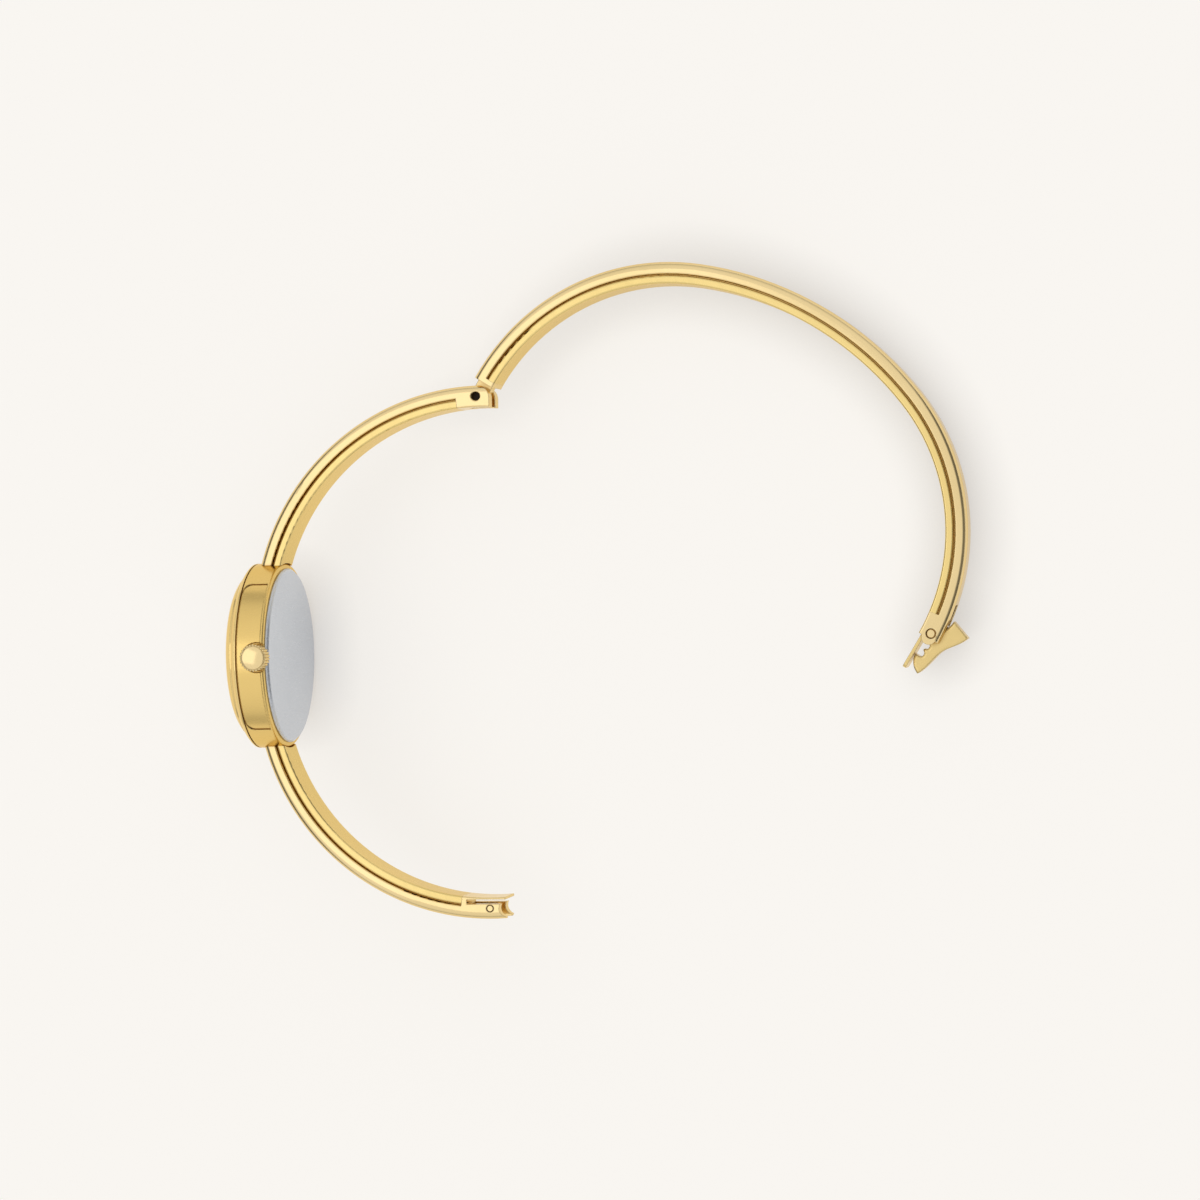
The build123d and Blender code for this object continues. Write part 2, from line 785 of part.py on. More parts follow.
lower_ring_start = (case_radius, lower_ring_edge)
lower_ring_end = (ring_joint_radius + ring_groove, lower_ring_top)
upper_ring_start = (ring_joint_radius, upper_ring_edge)
upper_ring_end = (bezel_bore_radius + bezel_rim_width, bezel_top)

with BuildPart() as bezel:
    with BuildSketch(head_profile):
        with BuildLine():
            crowned(lower_ring_start, lower_ring_end)
            Polyline(lower_ring_end, (ring_joint_radius, lower_ring_top - ring_groove), upper_ring_start)
            crowned(upper_ring_start, upper_ring_end)
            Polyline(
                upper_ring_end,
                (bezel_bore_radius, bezel_top),
                (bezel_bore_radius, crystal_bottom),
                (crystal_ledge_radius, crystal_bottom),
                (crystal_ledge_radius, dial_ring_top),
                (dial_bore_radius, dial_ring_top),
                (dial_bore_radius, case_top),
                (bezel_neck_radius, case_top),
                (bezel_neck_radius, case_top + bezel_neck_height),
                (case_radius, case_top + bezel_neck_height),
                lower_ring_start,
            )
        make_face()
    revolve(axis=head_axis)
keep(bezel, "bezel", watch_pieces)

with BuildPart() as crystal:
    with BuildSketch(head_profile):
        with BuildLine():
            Polyline(
                (0, crystal_dome_top),
                (0, crystal_bottom),
                (crystal_radius, crystal_bottom),
                (crystal_radius, crystal_edge_top),
            )
            dome(crystal_radius, crystal_edge_top, crystal_dome_top)
        make_face()
    revolve(axis=head_axis)
keep(crystal, "crystal", watch_pieces)

with BuildPart() as crystal_gasket:
    ring(crystal_radius, bezel_bore_radius, crystal_bottom, crystal_bottom + crystal_gasket_height)
keep(crystal_gasket, "crystal_gasket", watch_pieces)

dial_top = dial_ledge + dial_thickness
with BuildPart() as dial_ring:
    turned([
        (dial_radius - dial_ring_width, dial_top),
        (dial_radius, dial_top),
        (dial_radius, dial_ring_top),
        (dial_radius - dial_ring_lip_width, dial_ring_top),
    ])
keep(dial_ring, "dial_ring", watch_pieces)

with BuildPart() as dial:
    ring(dial_hole_radius, dial_radius, dial_ledge, dial_top)
keep(dial, "dial", watch_pieces)

with BuildPart() as hour_markers:
    with BuildSketch(head.offset(dial_top)):
        with PolarLocations(marker_radius, marker_count):
            Rectangle(marker_length, marker_width)
    extrude(amount=marker_height)
keep(hour_markers, "hour_markers", watch_pieces)


def hand(length, width, level, clock_angle, bore):
    """A tapered hand with a short tail and a round hub, turned clockwise from 12."""
    turned_plane = Plane(head.offset(level).location * Rotation(0, 0, -clock_angle))
    with BuildSketch(turned_plane) as outline:
        with BuildLine():
            Polyline(
                (-width * hand_tip_share / 2, length),
                (-width / 2, 0),
                (-width * hand_tip_share / 2, -hand_tail),
                (width * hand_tip_share / 2, -hand_tail),
                (width / 2, 0),
                (width * hand_tip_share / 2, length),
                close=True,
            )
        make_face()
        Circle(hand_hub_radius)
        Circle(bore, mode=Mode.SUBTRACT)
    extrude(outline.sketch, amount=hand_thickness)


with BuildPart() as hour_hand:
    hand(hour_hand_length, hour_hand_width, hour_hand_level, hour_hand_angle, hour_pipe_outer)
keep(hour_hand, "hour_hand", watch_pieces)

with BuildPart() as minute_hand:
    hand(minute_hand_length, minute_hand_width, minute_hand_level, minute_hand_angle, cannon_radius)
keep(minute_hand, "minute_hand", watch_pieces)

# Motion work under the dial
minute_wheel_distance = cannon_gear_radius + minute_wheel_radius + mesh_gap
minute_wheel_place = polar_point((0, 0), minute_wheel_distance, minute_wheel_angle)
centre_bore = arbor_radius + pivot_clearance

with BuildPart() as cannon_pinion:
    disc(cannon_radius, plate_bottom + pivot_play, minute_hand_level + hand_thickness + pivot_play)
    disc(cannon_gear_radius, minute_wheel_level, minute_wheel_level + cannon_gear_height)
    disc(centre_bore, plate_bottom - overrun, dial_top, mode=Mode.SUBTRACT)
keep(cannon_pinion, "cannon_pinion", watch_pieces)

with BuildPart() as hour_wheel:
    disc(hour_wheel_radius, hour_wheel_level, hour_wheel_level + wheel_thickness)
    disc(hour_pipe_outer, hour_wheel_level, hour_hand_level + hand_thickness + pivot_play)
    clear_hole(hour_pipe_inner, hour_wheel_level, hour_hand_level + hand_thickness, [(0, 0)])
keep(hour_wheel, "hour_wheel", watch_pieces)

with BuildPart() as minute_wheel:
    disc(minute_wheel_radius, minute_wheel_level, minute_wheel_level + wheel_thickness, minute_wheel_place)
    disc(minute_pinion_radius, minute_wheel_level, hour_wheel_level + wheel_thickness, minute_wheel_place)
    clear_hole(arbor_radius + pivot_clearance, minute_wheel_level, hour_wheel_level, [minute_wheel_place])
keep(minute_wheel, "minute_wheel", watch_pieces)

# Going train between the train bridge and the main plate
third_place = polar_point((0, 0), centre_wheel_radius + third_pinion_radius + mesh_gap, third_angle)
seconds_place = polar_point(third_place, third_wheel_radius + seconds_pinion_radius + mesh_gap, seconds_angle)
fifth_place = polar_point(seconds_place, seconds_wheel_radius + fifth_pinion_radius + mesh_gap, fifth_angle)
rotor_place = polar_point(fifth_place, fifth_wheel_radius + rotor_pinion_radius + mesh_gap, rotor_angle)
train_places = [third_place, seconds_place, fifth_place, rotor_place]
pivot_reach = (bridge_top - bridge_bottom) / 2


def arbor(place):
    """An arbor between the bridge and the plate, with a thinner pivot at each end."""
    disc(arbor_radius, bridge_top + pivot_play, plate_bottom - pivot_play, place)
    disc(pivot_radius, bridge_top - pivot_reach, plate_bottom + pivot_reach, place)


def pinion(radius, level, place):
    """A pinion a little taller than the wheel that it turns, centred on that wheel's level."""
    disc(radius, level - wheel_thickness / 2, level + 3 * wheel_thickness / 2, place)


def wheel(radius, level, place):
    """A flat wheel at one of the train's levels."""
    disc(radius, level, level + wheel_thickness, place)


with BuildPart() as centre_wheel:
    disc(arbor_radius, bridge_top + pivot_play, dial_top - pivot_play)
    disc(pivot_radius, bridge_top - pivot_reach, bridge_top + overrun)
    wheel(centre_wheel_radius, high_level, (0, 0))
keep(centre_wheel, "centre_wheel", watch_pieces)

with BuildPart() as third_wheel:
    arbor(third_place)
    wheel(third_wheel_radius, mid_level, third_place)
    pinion(third_pinion_radius, high_level, third_place)
keep(third_wheel, "third_wheel", watch_pieces)

with BuildPart() as seconds_wheel:
    arbor(seconds_place)
    wheel(seconds_wheel_radius, low_level, seconds_place)
    pinion(seconds_pinion_radius, mid_level, seconds_place)
keep(seconds_wheel, "seconds_wheel", watch_pieces)

with BuildPart() as fifth_wheel:
    arbor(fifth_place)
    wheel(fifth_wheel_radius, mid_level, fifth_place)
    pinion(fifth_pinion_radius, low_level, fifth_place)
keep(fifth_wheel, "fifth_wheel", watch_pieces)

with BuildPart() as rotor:
    arbor(rotor_place)
    disc(rotor_radius, rotor_bottom, rotor_bottom + rotor_height, rotor_place)
    pinion(rotor_pinion_radius, mid_level, rotor_place)
keep(rotor, "rotor", watch_pieces)

# Fixed parts of the movement
stem_block_end = movement_radius - stem_block_inset
stem_block_start = stem_block_end - stem_block_length
pillar_places = [polar_point((0, 0), movement_radius - pillar_inset, angle) for angle in pillar_angles]
clamp_post_place = (clamp_post_x, clamp_post_y)
battery_place = (battery_x, battery_y)
board_post_y = board_y + board_height / 2 - board_post_radius
board_post_places = [(board_x + side * board_post_spacing / 2, board_post_y) for side in (-1, 1)]
board_place = (board_x, board_y)

with BuildPart() as main_plate:
    disc(movement_radius, plate_bottom, plate_top)
    for place in pillar_places:
        disc(pillar_radius, bridge_top, plate_bottom, place)
    disc(pillar_radius, battery_bottom, plate_bottom, clamp_post_place)
    for place in board_post_places:
        disc(board_post_radius, board_level + board_thickness, plate_bottom, place)
    with BuildSketch(stem_plane.offset(stem_block_start)):
        with Locations((0, (plate_bottom + bridge_top) / 2 - stem_height)):
            Rectangle(stem_block_width, plate_bottom - bridge_top)
    extrude(amount=stem_block_end - stem_block_start)
    stem_disc(stem_radius + running_clearance, stem_block_start - overrun, stem_block_end + overrun, Mode.SUBTRACT)
    clear_hole(pivot_radius + pivot_clearance, plate_bottom, plate_top, train_places)
    clear_hole(cannon_radius + running_clearance, plate_bottom, plate_top, [(0, 0)])
    disc(arbor_radius, plate_top - wheel_thickness, hour_wheel_level + wheel_thickness, minute_wheel_place)
    for place in [*pillar_places, clamp_post_place]:
        disc(screw_radius, bridge_bottom - overrun, bridge_bottom + screw_length, place, Mode.SUBTRACT)
keep(main_plate, "main_plate", watch_pieces)

with BuildPart() as train_bridge:
    with BuildSketch(head.offset(bridge_bottom)):
        Circle(movement_radius - bridge_inset)
        with Locations((0, (bridge_low_edge + bridge_high_edge) / 2)):
            Rectangle(2 * movement_radius, bridge_high_edge - bridge_low_edge, mode=Mode.INTERSECT)
        with Locations(battery_place):
            Circle(battery_radius + battery_clearance, mode=Mode.SUBTRACT)
        with Locations((bridge_stem_x, bridge_stem_gap)):
            Rectangle(movement_radius, movement_radius, align=(Align.MIN, Align.MAX), mode=Mode.SUBTRACT)
        with Locations(*train_places, (0, 0)):
            Circle(pivot_radius + pivot_clearance, mode=Mode.SUBTRACT)
        with Locations(*pillar_places):
            Circle(screw_radius, mode=Mode.SUBTRACT)
    extrude(amount=bridge_top - bridge_bottom)
keep(train_bridge, "train_bridge", watch_pieces)


def screw(place, seat):
    """A slotted screw, its head against a seat that faces the case back."""
    disc(screw_head_radius, seat - screw_head_height, seat, place)
    disc(screw_radius, seat, seat + screw_length, place)
    with BuildSketch(head.offset(seat - screw_head_height)) as slot:
        with Locations(place):
            Rectangle(2 * screw_head_radius, screw_slot_width)
    extrude(slot.sketch, amount=screw_slot_depth, mode=Mode.SUBTRACT)


with BuildPart() as bridge_screws:
    for place in pillar_places:
        screw(place, bridge_bottom)
keep(bridge_screws, "bridge_screws", watch_pieces)

with BuildPart() as battery:
    disc(battery_radius, battery_bottom + battery_pole_height, plate_bottom, battery_place)
    disc(battery_pole_radius, battery_bottom, battery_bottom + battery_pole_height, battery_place)
keep(battery, "battery", watch_pieces)

with BuildPart() as battery_clamp:
    with BuildSketch(head.offset(battery_bottom - clamp_thickness)):
        with Locations(battery_place):
            Circle(clamp_pad_radius)
        with Locations(clamp_post_place):
            Circle(clamp_foot_radius)
        make_hull()
        with Locations(clamp_post_place):
            Circle(screw_radius, mode=Mode.SUBTRACT)
    extrude(amount=clamp_thickness)
keep(battery_clamp, "battery_clamp", watch_pieces)

with BuildPart() as clamp_screw:
    screw(clamp_post_place, battery_bottom - clamp_thickness)
keep(clamp_screw, "clamp_screw", watch_pieces)

with BuildPart() as circuit_board:
    with BuildSketch(head.offset(board_level)):
        Circle(movement_radius - board_edge_inset)
        with Locations(board_place):
            Rectangle(board_width, board_height, mode=Mode.INTERSECT)
    extrude(amount=board_thickness)
    with BuildSketch(head.offset(board_level)):
        with Locations((board_x, chip_y)):
            Rectangle(chip_size, chip_size)
    extrude(amount=-chip_height)
keep(circuit_board, "circuit_board", watch_pieces)


def across(x, y, height):
    """A plane square to the 3 o'clock direction, at a place seen from the dial side."""
    return Plane(origin=head.from_local_coords((x, y, height)), z_dir=head.x_dir)


can_y = board_y + board_height / 2 - crystal_can_radius
with BuildPart() as quartz_crystal:
    with BuildSketch(across(board_x - crystal_can_length / 2, can_y, board_level - crystal_can_radius)):
        Circle(crystal_can_radius)
    extrude(amount=crystal_can_length)
keep(quartz_crystal, "quartz_crystal", watch_pieces)

coil_level = stator_bottom + stator_thickness + coil_core_thickness / 2
core_end = coil_length / 2 + coil_tab_length

with BuildPart() as stator:
    with BuildSketch(head.offset(stator_bottom)):
        with Locations(rotor_place):
            Circle(stator_ring_radius)
        strip_sketch(-core_end, core_end, stator_bar_low, stator_bar_high)
        for side in (-1, 1):
            strip_sketch(side * coil_length / 2, side * core_end, stator_bar_low, coil_y + coil_tab_width / 2)
        with Locations(rotor_place):
            Circle(stator_hole_radius, mode=Mode.SUBTRACT)
    extrude(amount=stator_thickness)
keep(stator, "stator", watch_pieces)

with BuildPart() as coil:
    with BuildSketch(across(-coil_length / 2, coil_y, coil_level)):
        Circle(coil_radius)
    extrude(amount=coil_length)
    with BuildSketch(head.offset(stator_bottom + stator_thickness)):
        strip_sketch(-core_end, core_end, coil_y - coil_tab_width / 2, coil_y + coil_tab_width / 2)
    extrude(amount=coil_core_thickness)
keep(coil, "coil", watch_pieces)

with BuildPart() as movement_holder:
    ring(holder_inner, holder_outer, holder_bottom, dial_ledge)
    ring(movement_radius - plate_shelf_width, holder_inner, plate_top, dial_ledge)
    stem_disc(tube_outer, holder_inner - overrun, holder_outer + overrun, Mode.SUBTRACT)
keep(movement_holder, "movement_holder", watch_pieces)

# Stem and crown
with BuildPart() as clutch_wheel:
    stem_disc(clutch_radius, clutch_x, clutch_x + clutch_length)
    with BuildSketch(stem_plane.offset(clutch_x)):
        Rectangle(stem_square + 2 * clutch_clearance, stem_square + 2 * clutch_clearance)
    extrude(amount=clutch_length, mode=Mode.SUBTRACT)
keep(clutch_wheel, "clutch_wheel", watch_pieces)

crown_bore_end = crown_start + crown_bore_depth
with BuildPart() as stem:
    stem_disc(stem_radius, stem_square_end, crown_bore_end + crown_stem_depth)
    with BuildSketch(stem_plane.offset(stem_inner_x)):
        Rectangle(stem_square, stem_square)
    extrude(amount=stem_square_end - stem_inner_x)
keep(stem, "stem", watch_pieces)

crown_rib_top = crown_end - crown_cap_height
with BuildPart() as crown:
    with BuildSketch(stem_plane.offset(crown_start)):
        Circle(crown_radius - crown_rib_radius)
        with PolarLocations(crown_radius - crown_rib_radius, crown_rib_count):
            Circle(crown_rib_radius)
    extrude(amount=crown_rib_top - crown_start)
    with BuildSketch(stem_profile):
        with BuildLine():
            Polyline(
                (0, crown_end),
                (0, crown_rib_top),
                (crown_radius - crown_cap_inset, crown_rib_top),
                (crown_radius - crown_cap_inset, crown_end - crown_dome_height),
            )
            dome(crown_radius - crown_cap_inset, crown_end - crown_dome_height, crown_end)
        make_face()
    revolve(axis=stem_axis)
    stem_disc(crown_bore_radius, crown_start, crown_bore_end, Mode.SUBTRACT)
    stem_disc(stem_radius, crown_bore_end, crown_bore_end + crown_stem_depth, Mode.SUBTRACT)
keep(crown, "crown", watch_pieces)

with BuildPart() as crown_gasket:
    stem_disc(crown_bore_radius, gasket_start, gasket_start + gasket_length)
    stem_disc(tube_outer + gasket_clearance, gasket_start, gasket_start + gasket_length, Mode.SUBTRACT)
keep(crown_gasket, "crown_gasket", watch_pieces)

# The back arm swings open about the hinge. Then the watch tips until the round side of its case
# and the outer edge of the back arm both touch the table, with its weight over the line between.
hinge_place = Location((*hinge_point, 0))
swing = hinge_place * Rotation(0, 0, open_angle) * hinge_place.inverse()
downhill = Vector(cos(radians(rest_direction)), sin(radians(rest_direction)), 0)
back_arc_centre = swing * Location((back_arc_x, -back_arc_y, 0))
arm_reach = back_arc_centre.position.dot(downhill) + back_end_radius + arm_thickness - arm_edge_radius
case_reach = (case_back_distance + case_bottom + case_bottom_round) * downhill.X
rest_tilt = degrees(atan2(case_radius - half_width, arm_reach + case_reach))
tipping = Location((0, 0, 0), Vector(0, 0, 1).cross(downhill), rest_tilt)
tipped = [piece.moved(tipping) for piece in watch_pieces]
tipped += [piece.moved(tipping * swing) for piece in arm_pieces]
box = Compound(tipped).bounding_box()
seat = Location((-(box.min.X + box.max.X) / 2, -(box.min.Y + box.max.Y) / 2, -box.min.Z))
watch_placement = seat * tipping
arm_placement = watch_placement * swing

for piece in tipped:
    export_step(piece.moved(seat), f"parts/{piece.label}.step")
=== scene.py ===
import json
from math import cos, radians, sin

import bpy
from mathutils import Matrix, Vector

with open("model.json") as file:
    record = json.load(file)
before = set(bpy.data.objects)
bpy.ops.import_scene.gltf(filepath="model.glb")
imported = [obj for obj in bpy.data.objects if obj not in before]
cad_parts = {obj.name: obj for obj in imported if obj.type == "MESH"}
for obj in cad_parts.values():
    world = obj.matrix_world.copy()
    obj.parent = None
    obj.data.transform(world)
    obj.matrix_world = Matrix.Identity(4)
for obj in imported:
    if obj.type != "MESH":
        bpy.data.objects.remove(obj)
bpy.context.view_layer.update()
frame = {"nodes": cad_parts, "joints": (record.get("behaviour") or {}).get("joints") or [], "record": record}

MM = 0.001

# The bangle's own frame, taken from the record: X points toward the wrist, Y to 12 o'clock, and
# Z runs along the crown's axis. Its origin lies on the case's axis, 23.6 mm behind the case back.
CASE_BACK_DISTANCE = 23.6
record = frame["record"]
back_mount = next(m for m in record["mounts"] if m["name"] == "case_back_face")
hinge_joint = next(j for j in frame["joints"] if j["name"] == "bangle_hinge")
across = Vector(back_mount["axis"]).normalized()
crown_way = -Vector(hinge_joint["axis"]).normalized()
noon_way = crown_way.cross(across).normalized()
middle = Vector(back_mount["pos_m"]) + across * CASE_BACK_DISTANCE * MM


def from_bangle(x, y, z):
    """A place in the shared frame from millimetres in the bangle's frame."""
    return middle + (across * x + noon_way * y + crown_way * z) * MM


# Node helpers

EVEN = (1, 1, 1)
TEXTURE_LOW = 0.3
TEXTURE_HIGH = 0.7
TEXTURE_ROUGHNESS = 0.55
BEVEL_SAMPLES = 6
CREVICE_SAMPLES = 8
CREVICE_CLOSED = 0.25
CREVICE_OPEN = 0.85


def colour(red, green, blue):
    """A colour without transparency, as the sockets take it."""
    return (red, green, blue, 1.0)


def add_node(tree, kind, values=None, links=None, **settings):
    """A node with its settings, its input values and the outputs linked into it."""
    node = tree.nodes.new(kind)
    for setting, value in settings.items():
        setattr(node, setting, value)
    for socket, value in (values or {}).items():
        node.inputs[socket].default_value = value
    for socket, source in (links or {}).items():
        tree.links.new(source, node.inputs[socket])
    return node


def add_ramp(tree, source, stops):
    """A colour ramp over a value, from stops of a position and a colour in rising order."""
    ramp = add_node(tree, "ShaderNodeValToRGB", links={"Fac": source})
    elements = ramp.color_ramp.elements
    for element, (position, shade) in zip(elements, (stops[0], stops[-1])):
        element.position = position
        element.color = shade
    for position, shade in stops[1:-1]:
        elements.new(position).color = shade
    return ramp.outputs["Color"]


def new_material(name):
    """A material with its node tree, its shader and its texture coordinates."""
    material = bpy.data.materials.new(name)
    material.use_nodes = True
    tree = material.node_tree
    return material, tree, tree.nodes["Principled BSDF"], add_node(tree, "ShaderNodeTexCoord")


def noise(tree, coordinates, stretch, scale, detail):
    """A noise texture in object space, stretched along the way a surface was brushed."""
    mapping = add_node(tree, "ShaderNodeMapping", {"Scale": stretch},
                       {"Vector": coordinates.outputs["Object"]})
    texture = add_node(tree, "ShaderNodeTexNoise",
                       {"Scale": scale, "Detail": detail, "Roughness": TEXTURE_ROUGHNESS},
                       {"Vector": mapping.outputs["Vector"]})
    return texture.outputs["Fac"]


def spread(tree, source, low, high):
    """Maps a texture's middle range onto two values."""
    limits = {"From Min": TEXTURE_LOW, "From Max": TEXTURE_HIGH, "To Min": low, "To Max": high}
    return add_node(tree, "ShaderNodeMapRange", limits, {"Value": source}).outputs["Result"]


def tint(tree, source, dark, light):
    """Mixes two near colours by a texture."""
    return add_ramp(tree, source, [(TEXTURE_LOW, colour(*dark)), (TEXTURE_HIGH, colour(*light))])


def bump(tree, source, shader, depth, strength, edge=0.0):
    """Fine relief from a texture, over edges that are rounded by a small radius, in millimetres."""
    relief = add_node(tree, "ShaderNodeBump", {"Distance": depth * MM, "Strength": strength},
                      {"Height": source})
    if edge:
        rounded = add_node(tree, "ShaderNodeBevel", {"Radius": edge * MM}, samples=BEVEL_SAMPLES)
        tree.links.new(rounded.outputs["Normal"], relief.inputs["Normal"])
    tree.links.new(relief.outputs["Normal"], shader.inputs["Normal"])


def painted_crevice_shade(tree, base, painted_shade, reach):
    """Painted shade: darkens a colour in joints, grooves and ring lines narrower than a reach in
    millimetres.
    """
    hidden = add_node(tree, "ShaderNodeAmbientOcclusion", {"Distance": reach * MM},
                      samples=CREVICE_SAMPLES)
    shown = add_node(tree, "ShaderNodeMapRange",
                     {"From Min": CREVICE_CLOSED, "From Max": CREVICE_OPEN},
                     {"Value": hidden.outputs["AO"]})
    blend = add_node(tree, "ShaderNodeMix", {"A": colour(*painted_shade)},
                     {"Factor": shown.outputs["Result"], "B": base}, data_type="RGBA")
    return blend.outputs["Result"]


# Materials: lengths in millimetres, tones and roughness as a low and a high value

METAL_CLOUD_SCALE = 55.0
PLASTIC_CLOUD_SCALE = 90.0
CLOUD_DETAIL = 3.0
METAL_GRAIN_DETAIL = 5.0
PLASTIC_GRAIN_DETAIL = 4.0
SMEAR_SCALE = 120.0
SMEAR_DETAIL = 2.0
GOLD_AT_GRAZING = colour(1.0, 0.88, 0.62)
GLASS_TONE = colour(0.97, 0.985, 0.99)
GLASS_IOR = 1.5
GLASS_ROUGHNESS = (0.0, 0.03)


def metal(name, tones, roughness, stretch=EVEN, scale=900.0, depth=0.001, strength=0.1,
          painted_shade=None, reach=0.7, edge=0.0):
    """A metal whose tone and gloss vary with fine handling marks or brushing, and whose tone, where a shade
    colour is given, takes painted shade in its crevices.
    """
    material, tree, shader, coordinates = new_material(name)
    shader.inputs["Metallic"].default_value = 1.0
    if painted_shade:
        shader.inputs["Specular Tint"].default_value = GOLD_AT_GRAZING
    cloud = noise(tree, coordinates, EVEN, METAL_CLOUD_SCALE, CLOUD_DETAIL)
    grain = noise(tree, coordinates, stretch, scale, METAL_GRAIN_DETAIL)
    tone = tint(tree, cloud, *tones)
    # Painted shade: the tone darkens in crevices where ambient occlusion finds the surface hidden
    if painted_shade:
        tone = painted_crevice_shade(tree, tone, painted_shade, reach)
    tree.links.new(tone, shader.inputs["Base Color"])
    tree.links.new(spread(tree, grain, *roughness), shader.inputs["Roughness"])
    bump(tree, grain, shader, depth, strength, edge)
    return material


def plastic(name, tones, roughness, scale=600.0, depth=0.004, strength=0.2):
    """A moulded or painted surface with a slight texture."""
    material, tree, shader, coordinates = new_material(name)
    cloud = noise(tree, coordinates, EVEN, PLASTIC_CLOUD_SCALE, CLOUD_DETAIL)
    grain = noise(tree, coordinates, EVEN, scale, PLASTIC_GRAIN_DETAIL)
    tree.links.new(tint(tree, cloud, *tones), shader.inputs["Base Color"])
    tree.links.new(spread(tree, grain, *roughness), shader.inputs["Roughness"])
    bump(tree, grain, shader, depth, strength)
    return material


def clear_glass(name):
    """A smeared crystal that casts no shadow, so that the dial under it is lit."""
    material, tree, shader, coordinates = new_material(name)
    shader.inputs["Base Color"].default_value = GLASS_TONE
    shader.inputs["Transmission Weight"].default_value = 1.0
    shader.inputs["IOR"].default_value = GLASS_IOR
    smear = noise(tree, coordinates, EVEN, SMEAR_SCALE, SMEAR_DETAIL)
    tree.links.new(spread(tree, smear, *GLASS_ROUGHNESS), shader.inputs["Roughness"])
    rays = add_node(tree, "ShaderNodeLightPath")
    let_through = add_node(tree, "ShaderNodeBsdfTransparent")
    blend = add_node(tree, "ShaderNodeMixShader", links={
        "Fac": rays.outputs["Is Shadow Ray"],
        1: shader.outputs["BSDF"],
        2: let_through.outputs["BSDF"],
    })
    tree.links.new(blend.outputs["Shader"], tree.nodes["Material Output"].inputs["Surface"])
    return material


GOLD = ((0.8, 0.615, 0.3), (0.86, 0.67, 0.35))
CLASP_GOLD = ((0.73, 0.545, 0.22), (0.79, 0.595, 0.26))
# Colours of the painted shade that darkens crevices in the gold and the satin gold
GOLD_PAINTED_SHADE = (0.42, 0.255, 0.075)
SATIN_PAINTED_SHADE = (0.55, 0.36, 0.12)

# Looks that give a shade colour get painted shade in their crevices
slot_looks = {
    "gold_polished": (metal, dict(
        tones=GOLD, roughness=(0.1, 0.16), scale=1400.0, painted_shade=GOLD_PAINTED_SHADE, edge=0.18)),
    "gold_satin": (metal, dict(
        tones=((0.8, 0.605, 0.235), (0.85, 0.65, 0.265)), roughness=(0.22, 0.32),
        stretch=(1, 1, 14), scale=700.0, depth=0.001, strength=0.12, painted_shade=SATIN_PAINTED_SHADE, reach=0.4)),
    "gold_pin": (metal, dict(
        tones=GOLD, roughness=(0.12, 0.2), scale=1800.0, painted_shade=GOLD_PAINTED_SHADE, reach=0.4, edge=0.1)),
    # Near-black pin: painted shade for the dark hinge hole it sits in
    "dark_pin": (metal, dict(
        tones=((0.02, 0.016, 0.013), (0.035, 0.028, 0.022)), roughness=(0.4, 0.55),
        scale=1800.0)),
    "steel_back": (metal, dict(
        tones=((0.595, 0.63, 0.685), (0.645, 0.68, 0.735)), roughness=(0.26, 0.38),
        stretch=(1, 12, 1), depth=0.002, strength=0.2, edge=0.2)),
    "spring_steel": (metal, dict(
        tones=((0.6, 0.58, 0.53), (0.68, 0.66, 0.6)), roughness=(0.18, 0.28))),
    "steel_small": (metal, dict(
        tones=((0.55, 0.56, 0.58), (0.62, 0.63, 0.65)), roughness=(0.14, 0.24))),
    "crystal": (clear_glass, {}),
    "gasket": (plastic, dict(
        tones=((0.012, 0.012, 0.013), (0.022, 0.022, 0.023)), roughness=(0.5, 0.65))),
    "dial_paint": (plastic, dict(
        tones=((0.88, 0.87, 0.83), (0.93, 0.92, 0.88)), roughness=(0.3, 0.4),
        scale=1500.0, depth=0.001)),
    "gold_trim": (metal, dict(tones=GOLD, roughness=(0.09, 0.15), scale=2000.0)),
    "holder_plastic": (plastic, dict(
        tones=((0.68, 0.68, 0.64), (0.75, 0.75, 0.71)), roughness=(0.45, 0.6))),
    "nickel_plate": (metal, dict(
        tones=((0.52, 0.5, 0.45), (0.6, 0.58, 0.52)), roughness=(0.2, 0.32),
        stretch=(1, 10, 1), scale=1100.0)),
    "train_brass": (metal, dict(
        tones=((0.66, 0.44, 0.15), (0.74, 0.51, 0.19)), roughness=(0.16, 0.26))),
    "rotor_steel": (metal, dict(
        tones=((0.24, 0.24, 0.26), (0.31, 0.31, 0.33)), roughness=(0.25, 0.35))),
    "stator_steel": (metal, dict(
        tones=((0.4, 0.39, 0.36), (0.47, 0.46, 0.42)), roughness=(0.3, 0.42))),
    "coil_copper": (metal, dict(
        tones=((0.5, 0.2, 0.09), (0.62, 0.27, 0.13)), roughness=(0.22, 0.34),
        stretch=(1, 1, 30), scale=500.0, depth=0.02, strength=0.6)),
    "board_green": (plastic, dict(
        tones=((0.012, 0.085, 0.045), (0.02, 0.12, 0.065)), roughness=(0.25, 0.4))),
    "battery_steel": (metal, dict(
        tones=((0.62, 0.62, 0.64), (0.7, 0.7, 0.72)), roughness=(0.12, 0.22))),
}
materials = {slot: make(slot, **look) for slot, (make, look) in slot_looks.items()}
